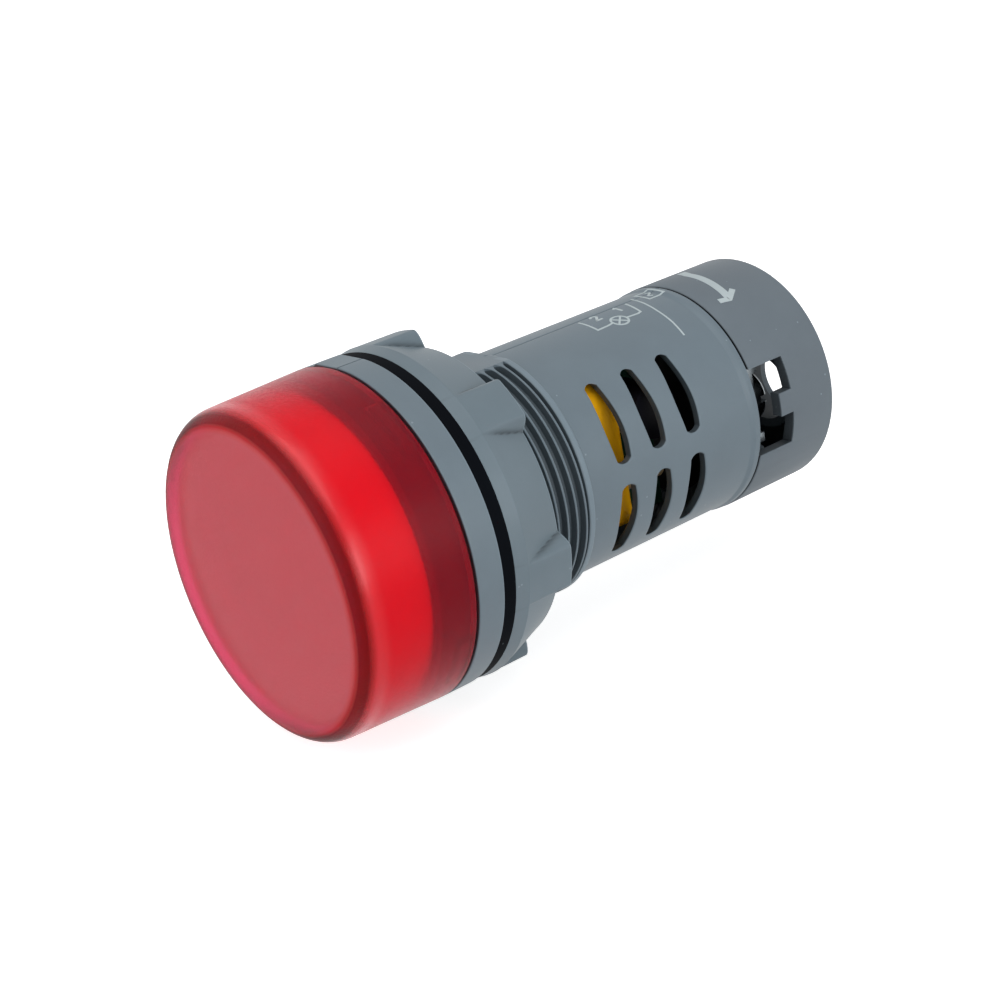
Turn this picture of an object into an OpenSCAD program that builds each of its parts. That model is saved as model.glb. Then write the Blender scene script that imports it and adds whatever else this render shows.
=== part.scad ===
// Panel pilot light for a 22 mm hole: lens, bezel, gasket, ring nut, vented body and screw terminals.
// The light looks towards -Y. The origin is the centre of the gasket's rear face, where the panel's
// front lies. +Z is the top mark on the bezel, and the vents and wire windows face +X and -X.

/* [Lens] */
// Length of the lens in front of the bezel
lens_len = 11; // [8:0.5:16]
// Radius of the lens where it meets the bezel
lens_r = 14.5; // [14:0.1:14.5]
// Radius of the lens just behind its front rim
lens_front_r = 14.1; // [13.8:0.1:14.4]
// Rounding of the front rim
lens_rim_r = 2; // [0.5:0.1:3]
// Thickness of the lens
lens_wall = 1.15; // [0.9:0.05:1.2]

/* [Bezel and gasket] */
// Radius of the bezel
bezel_r = 14.5; // [14:0.1:15]
// Thickness of the bezel
bezel_t = 2.6; // [2:0.1:4]
// Radius of the gasket
gasket_r = 14.35; // [13.5:0.05:14.5]
// Thickness of the gasket
gasket_t = 1.05; // [0.6:0.05:2]

/* [Barrel and body] */
// Radius over the barrel's thread
barrel_r = 11; // [10.9:0.1:11.1]
// Distance from the panel's front to the end of the thread
barrel_len = 11.6; // [9:0.1:14]
// Distance from the axis to the flats in the thread
flat_d = 10.6; // [10.5:0.1:10.9]
// Radius of the body
body_r = 10.4; // [10.2:0.1:10.5]
// Distance from the panel's front to the seam with the rear cap
body_len = 31.2; // [31:0.1:31.4]
// Radius of the space inside the body
bore_r = 9.6; // [9.3:0.1:9.7]

/* [Vents] */
// Number of vents in each row
vent_rows = 3; // [1:1:3]
// Width of a vent
vent_w = 1.9; // [1:0.1:2.4]
// Distance between vents along the body
vent_pitch = 4; // [3.5:0.1:4]
// Distance from the panel's front to the first vent
vent_first = 16; // [15:0.5:17]
// Height above or below the middle where a vent starts
vent_near = 1; // [0.8:0.1:2]
// Height above or below the middle where a vent ends
vent_far = 7.4; // [6:0.1:7.8]

/* [Ring nut] */
// Number of lobes
lobes = 6; // [3:1:8]
// Depth of the nut along the barrel
nut_len = 5.85; // [5:0.05:5.9]
// Radius of the flange's widest edge
flange_r = 14.9; // [14.5:0.1:15.5]
// Radius over the lobes
lobe_r = 14.6; // [14:0.05:14.8]
// Turn of the lobes about the axis
lobe_turn = 14.7; // [0:0.1:60]

/* [Rear cap] */
// Radius of the cap
cap_r = 10.63; // [10.5:0.01:10.7]
// Distance from the panel's front to the rear face
rear_y = 40.8; // [40:0.1:41.5]
// Thickness of the cap's side
cap_wall = 1.1; // [1:0.05:1.15]
// Thickness of the cap's rear wall
rear_wall = 1.4; // [1:0.1:1.5]
// Half the height of a pair of wire windows
window_half = 4; // [3.5:0.1:4.2]
// Half the width of the tongue between two windows
tongue_half = 1.05; // [0.8:0.05:1.3]
// Distance from the panel's front to the windows' far edge
window_y = 35.5; // [35:0.1:36]
// Distance from the panel's front to the tongue's tip
tongue_y = 33.9; // [33.6:0.1:34.5]

/* [Terminals] */
// Distance of a terminal screw from the axis
screw_x = 5.3; // [5.2:0.1:5.4]
// Radius of the screw's shank
screw_r = 1.5; // [1.25:0.05:1.5]
// Radius of the screw's head
head_r = 2.45; // [2.2:0.05:2.45]
// Height of the screw's head
head_h = 1.9; // [1.5:0.1:2]
// Thickness of the sheet metal
sheet_t = 0.8; // [0.6:0.1:0.8]
// Distance from the panel's front to the terminals' seats
seat_y = 31.8; // [31.6:0.1:32]
// Radius of a screwdriver hole in the rear wall
access_r = 3; // [2.7:0.05:3]

/* [Electronics] */
// Thickness of the boards
board_t = 1.6; // [1:0.2:1.6]
// Half the width of the main board
board_half = 8.3; // [7.5:0.1:8.4]
// Number of LEDs
led_count = 6; // [3:1:8]
// Radius of the circle of LEDs
led_circle = 6.6; // [5:0.1:7.5]

/* [Hidden] */
$fn = 96;

eps = 0.01;
grey = [0.42, 0.47, 0.50];
metal = [0.78, 0.78, 0.76];
copper_green = [0.10, 0.32, 0.22];

// places along the axis
bezel_rear = -gasket_t;
bezel_front = bezel_rear - bezel_t;
lens_front = bezel_front - lens_len;
collar_front = bezel_front - 3.5;
ledge_y = -2.4;
spigot_y = body_len + 2.3;
lip_y = body_len - 3;
board_front = -1.4;
board_rear = lip_y - 0.8;

// radii inside the front end
collar_r = 13.1;
collar_in = 11.9;
spigot_r = 9.45;
spigot_in = 8.3;
lip_in = 7.8;

// snap lugs between the collar and the lens
lug_count = 4;
lug_turn = 37;
lug_half = 11;
lug_y = bezel_front - 1.45;
lug_h = 1.15;

// the running fit of the nut over the thread's crests
nut_bore = barrel_r + 0.05;
nut_cone_r = 13.05;
rim_y = 1.35;

// length of the tubes that guide a screwdriver to the screws
guide_len = 3.6;

// the thread's root, cut as one ring where the barrel comes out of the nut: its free end starts behind it
root_y = nut_len + 0.1;
root_w = 0.7;
root_d = 0.55;

// an arc of points from angle a0 to a1
function arc(cx, cy, r, a0, a1, n = 8) =
    [for (i = [0:n]) [cx + r * cos(a0 + (a1 - a0) * i / n), cy + r * sin(a0 + (a1 - a0) * i / n)]];

// lays a shape that was drawn along +Z along +Y, starting at y; its x stays +X and its y becomes -Z
module along(y = 0) {
    translate([0, y, 0]) rotate([-90, 0, 0]) children();
}

// a solid of revolution about the axis, from points [radius, place along the axis]
module turned(points) {
    along() rotate_extrude() polygon(points);
}

module rod(r, y0, y1, x = 0, z = 0) {
    translate([x, y0, z]) rotate([-90, 0, 0]) cylinder(r = r, h = y1 - y0);
}

// a box between two corners
module block(low, high) {
    translate(low) cube(high - low);
}

// a flat rectangle with round corners, centred
module round_rect(w, h, r) {
    square([w - 2 * r, h], center = true);
    square([w, h - 2 * r], center = true);
    for (sx = [-1, 1], sy = [-1, 1]) translate([sx * (w / 2 - r), sy * (h / 2 - r)]) circle(r);
}

// a cushion-shaped body: what three rounded prisms share
module pillow(x, y, z, r) {
    intersection() {
        linear_extrude(z, center = true) round_rect(x, y, r);
        rotate([90, 0, 0]) linear_extrude(y, center = true) round_rect(x, z, r);
        rotate([90, 0, 90]) linear_extrude(x, center = true) round_rect(y, z, r);
    }
}

// a shape on both sides of the middle plane, for the two terminals: side is 1 or -1
module on_side(side) {
    if (side > 0) children();
    else mirror([1, 0, 0]) children();
}

// ring sectors that stand for the snap lugs, grown by a play
module lug_ring(r0, r1, play) {
    for (i = [0:lug_count - 1]) along(lug_y - play) rotate([0, 0, lug_turn + i * 360 / lug_count])
        rotate([0, 0, -lug_half - play]) rotate_extrude(angle = 2 * (lug_half + play))
            translate([r0, 0]) square([r1 - r0, lug_h + 2 * play]);
}

module lens() {
    inner_front = lens_front_r - lens_wall;
    inner_rear = lens_r - lens_wall;
    front_in = lens_front + 1.4;
    color([0.80, 0.05, 0.10, 0.85]) difference() {
        turned(concat(
            [[0, lens_front]],
            arc(lens_front_r - lens_rim_r, lens_front + lens_rim_r, lens_rim_r, -90, 0),
            [[lens_r, bezel_front], [inner_rear, bezel_front]],
            arc(inner_front - 1, front_in + 1, 1, 0, -90),
            [[0, front_in]]
        ));
        lug_ring(collar_r, collar_r + 0.7, 0.1);
    }
}

// the diffuser stands on the collar's front edge, inside the lens
module diffuser() {
    front = lens_front + 1.6;
    outer = lens_front_r - lens_wall - 0.2;
    color([0.95, 0.80, 0.78]) turned(concat(
        [[0, front]],
        arc(outer - 1.2, front + 1.2, 1.2, -90, 0),
        [[outer, collar_front], [outer - 0.8, collar_front]],
        arc(outer - 1.4, front + 1.4, 0.6, 0, -90),
        [[0, front + 0.8]]
    ));
}

module led_board() {
    color(copper_green) difference() {
        rod(collar_in - 0.2, ledge_y - board_t, ledge_y);
        pin_places(0.35) block([-0.35, ledge_y - 2 * board_t, -0.35], [0.35, ledge_y + 1, 0.35]);
    }
}

module pin_places(half) {
    for (i = [-1.5:1:1.5]) translate([board_t / 2 + 0.32, 0, i * 2.54]) children();
}

// four square pins, soldered to the main board's face, that carry the round board
module link_pins() {
    color(metal) pin_places(0.32)
        block([-0.32, ledge_y - board_t - 0.6, -0.32], [0.32, board_front + 3.6, 0.32]);
}

module leds() {
    seat = ledge_y - board_t;
    color([0.95, 0.95, 0.90]) for (i = [0:led_count - 1])
        along() rotate([0, 0, i * 360 / led_count]) translate([led_circle, 0, 0])
            rotate_extrude() polygon(concat(
                [[0, seat], [1.85, seat], [1.85, seat - 0.7], [1.5, seat - 0.7]],
                arc(0, seat - 2.6, 1.5, 0, -90, 6)
            ));
}

// a row of vents: capsule-shaped prisms that cut both side walls along X
module vents() {
    end = vent_w / 2;
    for (i = [0:vent_rows - 1], side = [-1, 1], up = [-1, 1]) {
        y = vent_first + i * vent_pitch;
        z0 = vent_near + end;
        z1 = vent_far - end;
        translate([side * 8, y, up * (z0 + z1) / 2]) cube([8, vent_w, z1 - z0], center = true);
        for (z = [z0, z1]) translate([side * 8 - 4, y, up * z]) rotate([0, 90, 0]) cylinder(r = end, h = 8);
    }
}

// two pairs of ribs that hold the edges of the main board
module board_guides() {
    intersection() {
        for (up = [-1, 1], side = [-1, 1])
            translate([side * (board_t / 2 + 0.6), 14, up * 8.8]) cube([1, 24, 2.4], center = true);
        rod(bore_r + 0.2, 0, 30);
    }
}

// one moulding: lens collar, bezel, threaded barrel, vented body and the spigot for the cap
module housing() {
    color(grey) {
        difference() {
            turned([
                [collar_in, collar_front], [collar_r - 0.15, collar_front], [collar_r, collar_front + 0.15],
                [collar_r, bezel_front], [bezel_r - 0.1, bezel_front], [bezel_r, bezel_front + 0.1],
                [bezel_r, bezel_rear - 0.1], [bezel_r - 0.1, bezel_rear], [barrel_r, bezel_rear],
                [barrel_r, root_y], [barrel_r - root_d, root_y + root_w / 2], [barrel_r, root_y + root_w],
                [barrel_r, barrel_len - 0.35],
                [body_r, barrel_len + 0.25], [body_r, body_len - 1.1],
                [body_r + 0.15, body_len - 0.95], [body_r + 0.15, body_len - 0.15],
                [body_r, body_len], [spigot_r, body_len], [spigot_r, spigot_y - 0.2],
                [spigot_r - 0.2, spigot_y], [spigot_in, spigot_y], [spigot_in, lip_y + 0.6],
                [lip_in, lip_y + 0.6], [lip_in, lip_y], [bore_r, lip_y - 1.4], [bore_r, ledge_y],
                [collar_in, ledge_y]
            ]);
            vents();
            thread_flats();
            top_mark();
            spigot_windows();
        }
        lug_ring(collar_r - 0.1, collar_r + 0.5, 0);
        board_guides();
    }
}

// the thread stops at a flat along each parting line of the mould
module thread_flats() {
    for (up = [-1, 1]) translate([0, (barrel_len + 0.4) / 2, up * (flat_d + 1)])
        cube([12, barrel_len + 0.4, 2], center = true);
}

// the shallow flat notch across the bezel that marks the top
module top_mark() {
    block([-0.95, bezel_front - 0.5, bezel_r - 0.3], [0.95, bezel_rear + eps, bezel_r + 1]);
}

// the spigot is cut away behind the cap's wire windows
module spigot_windows() {
    for (side = [-1, 1]) on_side(side)
        block([7, body_len + 0.1, -window_half], [10, spigot_y + 1, window_half]);
}

module gasket() {
    color([0.05, 0.05, 0.06]) turned([
        [barrel_r, bezel_rear], [gasket_r, bezel_rear], [gasket_r, -0.15], [gasket_r - 0.15, 0],
        [barrel_r, 0]
    ]);
}

// half the angle that a lobe covers grows from its top to its foot along a quarter wave
function lobe_edge(t) = [
    lobe_r - (lobe_r - 12.9) * (1 - cos(90 * t)),
    7 + 5 * t
];

module lobe_outline() {
    n = 8;
    rise = [for (i = [n:-1:0]) let (e = lobe_edge(i / n)) e[0] * [cos(e[1]), -sin(e[1])]];
    top = [for (a = [-5:2.5:5]) lobe_r * [cos(a), sin(a)]];
    fall = [for (i = [0:n]) let (e = lobe_edge(i / n)) e[0] * [cos(e[1]), sin(e[1])]];
    polygon(concat([[11.5, -1.8]], rise, top, fall, [[11.5, 1.8]]));
}

// ring nut: a plain cone behind a flared rim, with lobes for the fingers or a ring spanner
module mounting_nut() {
    color(grey) difference() {
        union() {
            turned([
                [nut_bore - 0.5, 0], [flange_r - 0.3, 0], [flange_r, rim_y],
                [nut_cone_r, nut_len], [nut_bore - 0.5, nut_len]
            ]);
            for (i = [0:lobes - 1]) along(rim_y - 0.4) rotate([0, 0, lobe_turn + i * 360 / lobes])
                linear_extrude(nut_len - rim_y + 0.4) lobe_outline();
        }
        rod(nut_bore, -1, nut_len + 1);
    }
}

module main_board() {
    color(copper_green) block(
        [-board_t / 2, board_front, -board_half],
        [board_t / 2, board_rear, board_half]
    );
}

// two straight legs from a part to the board's face, at y and z places; side is the board's face
module legs(places, reach, side = 1) {
    for (p = places) translate([side * board_t / 2, p[0], p[1]]) rotate([0, side * 90, 0])
        cylinder(r = 0.3, h = reach, $fn = 24);
}

// dipped film capacitor, seen through the first vents
module film_capacitor() {
    color([0.72, 0.46, 0.05]) {
        translate([4.2, 14.7, 0.3]) pillow(5.6, 10.2, 13.7, 2.2);
        legs([[14.7, -3.3], [14.7, 4.2]], 1.2);
    }
}

module smoothing_capacitor() {
    color([0.10, 0.10, 0.13]) {
        translate([1.3, 22.4, 3]) rotate([0, 90, 0]) cylinder(r = 2.4, h = 6.2);
        legs([[22.4, 2], [22.4, 4]], 0.7);
    }
}

module bridge_rectifier() {
    color([0.12, 0.12, 0.12]) {
        translate([-2.3, 6.5, -4]) pillow(2.2, 8, 6.4, 0.4);
        legs([[4, -2], [4, -6], [9, -2], [9, -6]], 0.6, -1);
    }
}

// a part with its body along Y and its two wires bent to the board
module axial(r, length, y, z, lift, side = 1) {
    x = side * (board_t / 2 + lift);
    rod(r, y - length / 2, y + length / 2, x, z);
    rod(0.3, y - length / 2 - 1, y + length / 2 + 1, x, z);
    legs([[y - length / 2 - 0.7, z], [y + length / 2 + 0.7, z]], lift + 0.3, side);
}

module series_resistor() {
    color([0.35, 0.55, 0.45]) axial(1.6, 8, 20, 4.4, 2, -1);
}

module bleed_resistor() {
    color([0.80, 0.70, 0.50]) axial(1.15, 4.6, 23.5, -3.8, 1.6);
}

module zener_diode() {
    color([0.75, 0.35, 0.20]) axial(0.95, 3.9, 19.5, -3.6, 1.4, -1);
}

module surge_varistor() {
    color([0.10, 0.25, 0.50]) {
        translate([-4.2, 7, 3.9]) rotate([-90, 0, 0]) cylinder(r = 3.2, h = 2.6);
        legs([[8.3, 1.9], [8.3, 5.9]], 1.6, -1);
    }
}

// insulating block that closes the body and carries both contacts, with a wall between them
module terminal_block() {
    color([0.15, 0.15, 0.16]) difference() {
        union() {
            rod(spigot_in - 0.05, lip_y + 0.6, seat_y);
            block([-0.7, seat_y - 1, -7.4], [0.7, seat_y + 5, 7.4]);
        }
        for (side = [-1, 1]) {
            rod(screw_r + 0.35, lip_y + 1, seat_y + 1, side * screw_x);
            on_side(side) block([0.75, lip_y, -1.3], [1.75, seat_y + 1, 1.3]);
            on_side(side) block([7, seat_y - 1.8, -2.5], [9, seat_y + 1, 2.5]);
        }
    }
}

// contact: a seat for the wires, a long tab to the board and an apron in the block's pocket
module contact_plate(side) {
    tab = board_t / 2 + 0.05;
    color([0.80, 0.72, 0.45]) on_side(side) difference() {
        union() {
            block([tab, seat_y, -3.3], [7.9, seat_y + sheet_t, 3.3]);
            block([tab, board_rear - 2.4, -1.2], [tab + sheet_t, seat_y + eps, 1.2]);
            block([7.9 - sheet_t, seat_y - 1.6, -2.4], [7.9, seat_y + eps, 2.4]);
        }
        rod(screw_r + 0.05, seat_y - 1, seat_y + 2, screw_x);
    }
}

// saddle plate under a screw, with ribs that bite into the wires on each side of it
module clamp_plate(side) {
    seat = seat_y + sheet_t;
    color(metal) on_side(side) difference() {
        union() {
            block([2.3, seat, -3.6], [8.1, seat + 1, 3.6]);
            for (up = [-1, 1]) block([2.3, seat + 0.5, up * 3.2 - 0.4], [8.1, seat + 1.5, up * 3.2 + 0.4]);
        }
        rod(screw_r + 0.05, seat - 1, seat + 2, screw_x);
        for (up = [-1, 1]) translate([screw_x, seat, up * 2.4]) rotate([0, 90, 0])
            cylinder(r = 0.35, h = 8, center = true, $fn = 24);
    }
}

// pan-head screw with a cross and a slot in its head
module terminal_screw(side) {
    under = seat_y + sheet_t + 1;
    color(metal) on_side(side) translate([screw_x, 0, 0]) difference() {
        union() {
            turned(concat(
                [[0, under], [head_r, under], [head_r, under + head_h - 0.5]],
                arc(head_r - 0.5, under + head_h - 0.5, 0.5, 0, 90, 5),
                [[0, under + head_h]]
            ));
            rod(screw_r, under - 4, under + eps);
        }
        translate([0, under + head_h, 0]) cube([5, 1.8, 0.6], center = true);
        translate([0, under + head_h, 0]) cube([0.6, 1.8, 3], center = true);
    }
}

// cap over the terminals: wire windows at both sides and a guide tube for the screwdriver over each screw
module rear_cap() {
    inner = cap_r - cap_wall;
    color(0.95 * grey) difference() {
        union() {
            turned(concat(
                [[inner, body_len], [cap_r - 0.1, body_len], [cap_r, body_len + 0.1]],
                arc(cap_r - 0.3, rear_y - 0.3, 0.3, 0, 90, 4),
                [[0, rear_y], [0, rear_y - rear_wall]],
                arc(inner - 0.6, rear_y - rear_wall - 0.6, 0.6, 90, 0, 5)
            ));
            for (side = [-1, 1]) rod(access_r + 0.8, rear_y - guide_len, rear_y - 1, side * screw_x);
        }
        for (side = [-1, 1]) {
            rod(access_r, rear_y - guide_len - 1, rear_y + 1, side * screw_x);
            on_side(side) wire_windows();
        }
    }
}

// a notch from the seam, less the tongue that parts it into two windows
module wire_windows() {
    difference() {
        block([8, body_len - 1, -window_half], [12, window_y, window_half]);
        block([7, tongue_y, -tongue_half], [13, rear_y, tongue_half]);
    }
}

lens();
diffuser();
led_board();
leds();
link_pins();
housing();
gasket();
mounting_nut();
main_board();
film_capacitor();
smoothing_capacitor();
bridge_rectifier();
series_resistor();
bleed_resistor();
zener_diode();
surge_varistor();
terminal_block();
contact_plate(1);  // contact_plate_1
contact_plate(-1);  // contact_plate_2
clamp_plate(1);  // clamp_plate_1
clamp_plate(-1);  // clamp_plate_2
terminal_screw(1);  // terminal_screw_1
terminal_screw(-1);  // terminal_screw_2
rear_cap();
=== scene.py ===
"""Looks of a panel pilot light: lens, bezel, gasket, ring nut, threaded barrel, vented body and rear cap.

Lengths are in metres. The light looks towards -Y, and +Z is the mark on top of the bezel. A place on the
round parts is given by its radius, its angle from +Z towards +X, and its distance y along the axis.
"""

import math
from itertools import product

import bpy
import bmesh
import numpy as np
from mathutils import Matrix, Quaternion, Vector


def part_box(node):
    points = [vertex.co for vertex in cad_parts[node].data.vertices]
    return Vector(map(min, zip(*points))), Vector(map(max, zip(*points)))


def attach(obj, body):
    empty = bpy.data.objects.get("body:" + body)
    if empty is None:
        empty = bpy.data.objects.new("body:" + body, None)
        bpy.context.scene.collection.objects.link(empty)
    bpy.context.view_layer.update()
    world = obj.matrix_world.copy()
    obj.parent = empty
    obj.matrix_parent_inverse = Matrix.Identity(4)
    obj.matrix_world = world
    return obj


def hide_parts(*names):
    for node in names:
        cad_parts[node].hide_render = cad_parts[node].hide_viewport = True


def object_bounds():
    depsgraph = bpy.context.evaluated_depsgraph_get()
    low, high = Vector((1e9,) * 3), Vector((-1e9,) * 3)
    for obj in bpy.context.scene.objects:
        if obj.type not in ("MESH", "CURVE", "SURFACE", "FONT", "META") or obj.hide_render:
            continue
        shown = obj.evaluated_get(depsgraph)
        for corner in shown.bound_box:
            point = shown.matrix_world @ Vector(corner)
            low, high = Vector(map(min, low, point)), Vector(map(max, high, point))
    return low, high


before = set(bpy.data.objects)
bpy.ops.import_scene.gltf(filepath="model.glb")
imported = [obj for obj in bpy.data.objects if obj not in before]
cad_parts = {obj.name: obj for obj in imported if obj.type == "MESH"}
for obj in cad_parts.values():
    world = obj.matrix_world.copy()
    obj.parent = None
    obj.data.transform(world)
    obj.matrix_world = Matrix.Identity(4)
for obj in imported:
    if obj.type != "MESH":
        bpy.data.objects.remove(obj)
cad_low, cad_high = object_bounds()

MM = 0.001
BODY = "light"
NUT = "nut"

CAMERA_PLACE = (0.13587, -0.08700, 0.05775)
CAMERA_LOOK = (-0.76594, 0.54770, -0.33671)
CAMERA_LEAN = -10.5
CAMERA_LENS = 74.77
ROOM_LEVEL = 0.325
FLOOR_HALF = 1.2
FLOOR_GLOW = 0.78
FLOOR_DROP = 0.2 * MM

# ---- Places read from the frame ----

lens_low, lens_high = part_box("lens")
housing_low, housing_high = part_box("housing")
gasket_low, gasket_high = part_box("gasket")
nut_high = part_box("mounting_nut")[1]
cap_low, cap_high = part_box("rear_cap")

LENS_R = lens_high.x
LENS_FRONT = lens_low.y
BEZEL_FRONT = lens_high.y
BEZEL_R = housing_high.x
COLLAR_FRONT = housing_low.y
GASKET_R = gasket_high.x
GASKET_FRONT = gasket_low.y
FLANGE_R = nut_high.x
NUT_REAR = nut_high.y
CAP_R = cap_high.x
SEAM = cap_low.y
REAR = cap_high.y
SPIGOT_REAR = housing_high.y

BARREL_R = 11.0 * MM
BARREL_END = 11.25 * MM
BODY_R = 10.4 * MM
BORE_R = 9.6 * MM
BAND = 0.17 * MM
SEAM_SHIFT = 0.45 * MM
SEAM_LINE = SEAM + SEAM_SHIFT
BEZEL_REAR = GASKET_FRONT - 0.07 * MM
NUT_FRONT = 0.1 * MM
RIM_R = FLANGE_R - 0.3 * MM
RIM_Y = 1.33 * MM
COLLAR_R = 13.1 * MM
COLLAR_IN = 11.9 * MM
LEDGE = -2.4 * MM
LAND_END = BARREL_END + 0.3 * MM
CHAMFER_END = BARREL_END + 0.75 * MM

# lens: its gap to the bezel, walls, the taper of its side and the rounding of its rim
LENS_GAP = 0.26 * MM
LENS_WALL = 1.15 * MM
LENS_FACE = 1.4 * MM
LENS_TAPER = 0.4 * MM
LENS_RIM = 2.0 * MM

# thread on the barrel, and its two flats: angles are degrees from the vertical
THREAD_PITCH = 1.0 * MM
THREAD_DEPTH = 0.6 * MM
THREAD_PHASE = 0.41
THREAD_TOP = 0.07 * MM
THREAD_FLANK = 0.17 * MM
FLAT = 10.6 * MM
FLAT_EDGE = math.degrees(math.acos(FLAT / BARREL_R))
TIP_SPAN = 5.2

# spigot inside the cap, with the ring that stops the terminal block
SPIGOT_R = 9.45 * MM
SPIGOT_IN = 8.3 * MM
STOP_R = 7.8 * MM
STOP_TAPER = 26.8 * MM
STOP_FRONT = 28.2 * MM
STOP_REAR = 28.8 * MM
SEAM_GAP = 0.17 * MM
WINDOW_EDGE = 65.0

# fine marks: the raised top mark, its groove, and the two parting lines
MARK_EDGE = 0.82 * MM
MARK_START = -2.6 * MM
MARK_DROP = 0.03 * MM
MARK_GROOVE = 0.2 * MM
PARTING_DEPTH = 0.11 * MM
PARTING_HALF = 0.08 * MM

# snap lugs between the collar and the lens
LUG_COUNT = 4
LUG_TURN = math.radians(127)
LUG_HALF = math.radians(11)
LUG_FRONT = BEZEL_FRONT - 1.45 * MM
LUG_REAR = BEZEL_FRONT - 0.30 * MM
LUG_RISE = 0.5 * MM

# vents: three in a row, above and below the middle, on both sides
VENT_PLACES = (16 * MM, 20 * MM, 24 * MM)
VENT_HALF = 0.99 * MM
VENT_NEAR = 0.96 * MM
VENT_FAR = 7.46 * MM
VENT_EDGE = 0.12 * MM
CELL_FROM = 30.0
CELL_HALF = 2 * MM
CELL_STEPS = 16
ROW_STEP = 2 * CELL_HALF / CELL_STEPS
SPINE_LOW = 0.3 * MM
SPINE_HIGH = 8.7 * MM

# materials
ZONE_EDGE = 0.05 * MM
DUST_PICK = 0.965
# share of the tone left by the painted shade at the foot of the nut's lobes
CREASE_SHADE_SHARE = 0.42


# ---- Camera, lights and ground ----

def into_scene(name, data):
    """A new object of that data, linked to the scene."""
    made = bpy.data.objects.new(name, data)
    bpy.context.scene.collection.objects.link(made)
    return made


def make_camera():
    """A short telephoto lens in front of the light, to its right and above, leaning a little to one side."""
    data = bpy.data.cameras.new("camera")
    data.sensor_width = 36
    data.lens = CAMERA_LENS
    data.clip_start = 0.005
    data.clip_end = 10
    camera = into_scene("camera", data)
    camera.location = CAMERA_PLACE
    camera.rotation_mode = "QUATERNION"
    lean = Quaternion((0, 0, 1), math.radians(CAMERA_LEAN))
    camera.rotation_quaternion = Vector(CAMERA_LOOK).to_track_quat("-Z", "Y") @ lean
    bpy.context.scene.camera = camera


def softbox(name, place, target, size, power):
    """A square area lamp of that edge length at place, facing target."""
    data = bpy.data.lights.new(name, "AREA")
    data.shape = "SQUARE"
    data.size = size
    data.energy = power
    lamp = into_scene(name, data)
    lamp.location = place
    lamp.rotation_mode = "QUATERNION"
    lamp.rotation_quaternion = (Vector(target) - Vector(place)).to_track_quat("-Z", "Y")


def new_material(name):
    """A material, with the nodes and links of its tree and its main shader."""
    material = bpy.data.materials.new(name)
    material.use_nodes = True
    tree = material.node_tree
    return material, tree.nodes, tree.links, tree.nodes["Principled BSDF"]


def fill(node, values):
    """Sets a node's inputs to the values given by their names."""
    for name, value in values.items():
        node.inputs[name].default_value = value


def compute(nodes, links, operation, *given, clamp=False):
    """The output of a math node, whose inputs are given as sockets or plain numbers."""
    node = nodes.new("ShaderNodeMath")
    node.operation = operation
    node.use_clamp = clamp
    for socket, value in zip(node.inputs, given):
        if isinstance(value, bpy.types.NodeSocket):
            links.new(value, socket)
        else:
            socket.default_value = value
    return node.outputs[0]


def mix_shaders(nodes, links, amount, first, second):
    """The first shader where amount is 0, and the second where it is 1."""
    node = nodes.new("ShaderNodeMixShader")
    for socket, value in zip(node.inputs, (amount, first, second)):
        links.new(value, socket)
    return node.outputs[0]


def light_shader(nodes, kind, strength):
    """A white background or emission of that strength."""
    node = nodes.new(kind)
    fill(node, {"Color": (1, 1, 1, 1), "Strength": strength})
    return node.outputs[0]


def mirrored_rays(nodes, links):
    """The outputs of Light Path, and 1 for glossy and transmission rays."""
    path = nodes.new("ShaderNodeLightPath").outputs
    return path, compute(nodes, links, "MAXIMUM", path["Is Glossy Ray"], path["Is Transmission Ray"])


def make_world(level):
    """Plain white to camera, glossy and transmission rays, and an even light of that level on the object."""
    world = bpy.data.worlds.new("white_room")
    bpy.context.scene.world = world
    world.use_nodes = True
    nodes, links = world.node_tree.nodes, world.node_tree.links
    nodes.clear()
    room = light_shader(nodes, "ShaderNodeBackground", level)
    white = light_shader(nodes, "ShaderNodeBackground", 1.0)
    path, mirrored = mirrored_rays(nodes, links)
    seen = compute(nodes, links, "MAXIMUM", path["Is Camera Ray"], mirrored)
    output = nodes.new("ShaderNodeOutputWorld")
    links.new(mix_shaders(nodes, links, seen, room, white), output.inputs["Surface"])


def make_floor():
    """A wide white floor, which glows to the eye just enough to stay white outside the shadow."""
    corners = FLOOR_HALF * np.array([[-1, -1], [1, -1], [1, 1], [-1, 1]])
    level = np.full((4, 1), cad_low.z - FLOOR_DROP)
    mesh = bpy.data.meshes.new("floor")
    mesh.from_pydata(np.hstack([corners, level]).tolist(), [], [(0, 1, 2, 3)])
    material, nodes, links, shader = new_material("floor_white")
    fill(shader, {"Base Color": (0.9, 0.9, 0.9, 1), "Roughness": 0.9, "Specular IOR Level": 0.0})
    dark, glow, white = (light_shader(nodes, "ShaderNodeEmission", s) for s in (0.0, FLOOR_GLOW, 1.0))
    path, mirrored = mirrored_rays(nodes, links)
    total = nodes.new("ShaderNodeAddShader")
    links.new(shader.outputs[0], total.inputs[0])
    links.new(mix_shaders(nodes, links, path["Is Camera Ray"], dark, glow), total.inputs[1])
    last = mix_shaders(nodes, links, mirrored, total.outputs[0], white)
    links.new(last, nodes["Material Output"].inputs["Surface"])
    mesh.materials.append(material)
    into_scene("floor", mesh)


# ---- Mesh helpers ----

def polar(radius, angle, y):
    """Points at a radius and an angle from +Z towards +X: x is radius sin angle, z is radius cos angle."""
    radius, angle, y = np.broadcast_arrays(radius, angle, y)
    return np.stack([radius * np.sin(angle), y, radius * np.cos(angle)], axis=-1)


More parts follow.
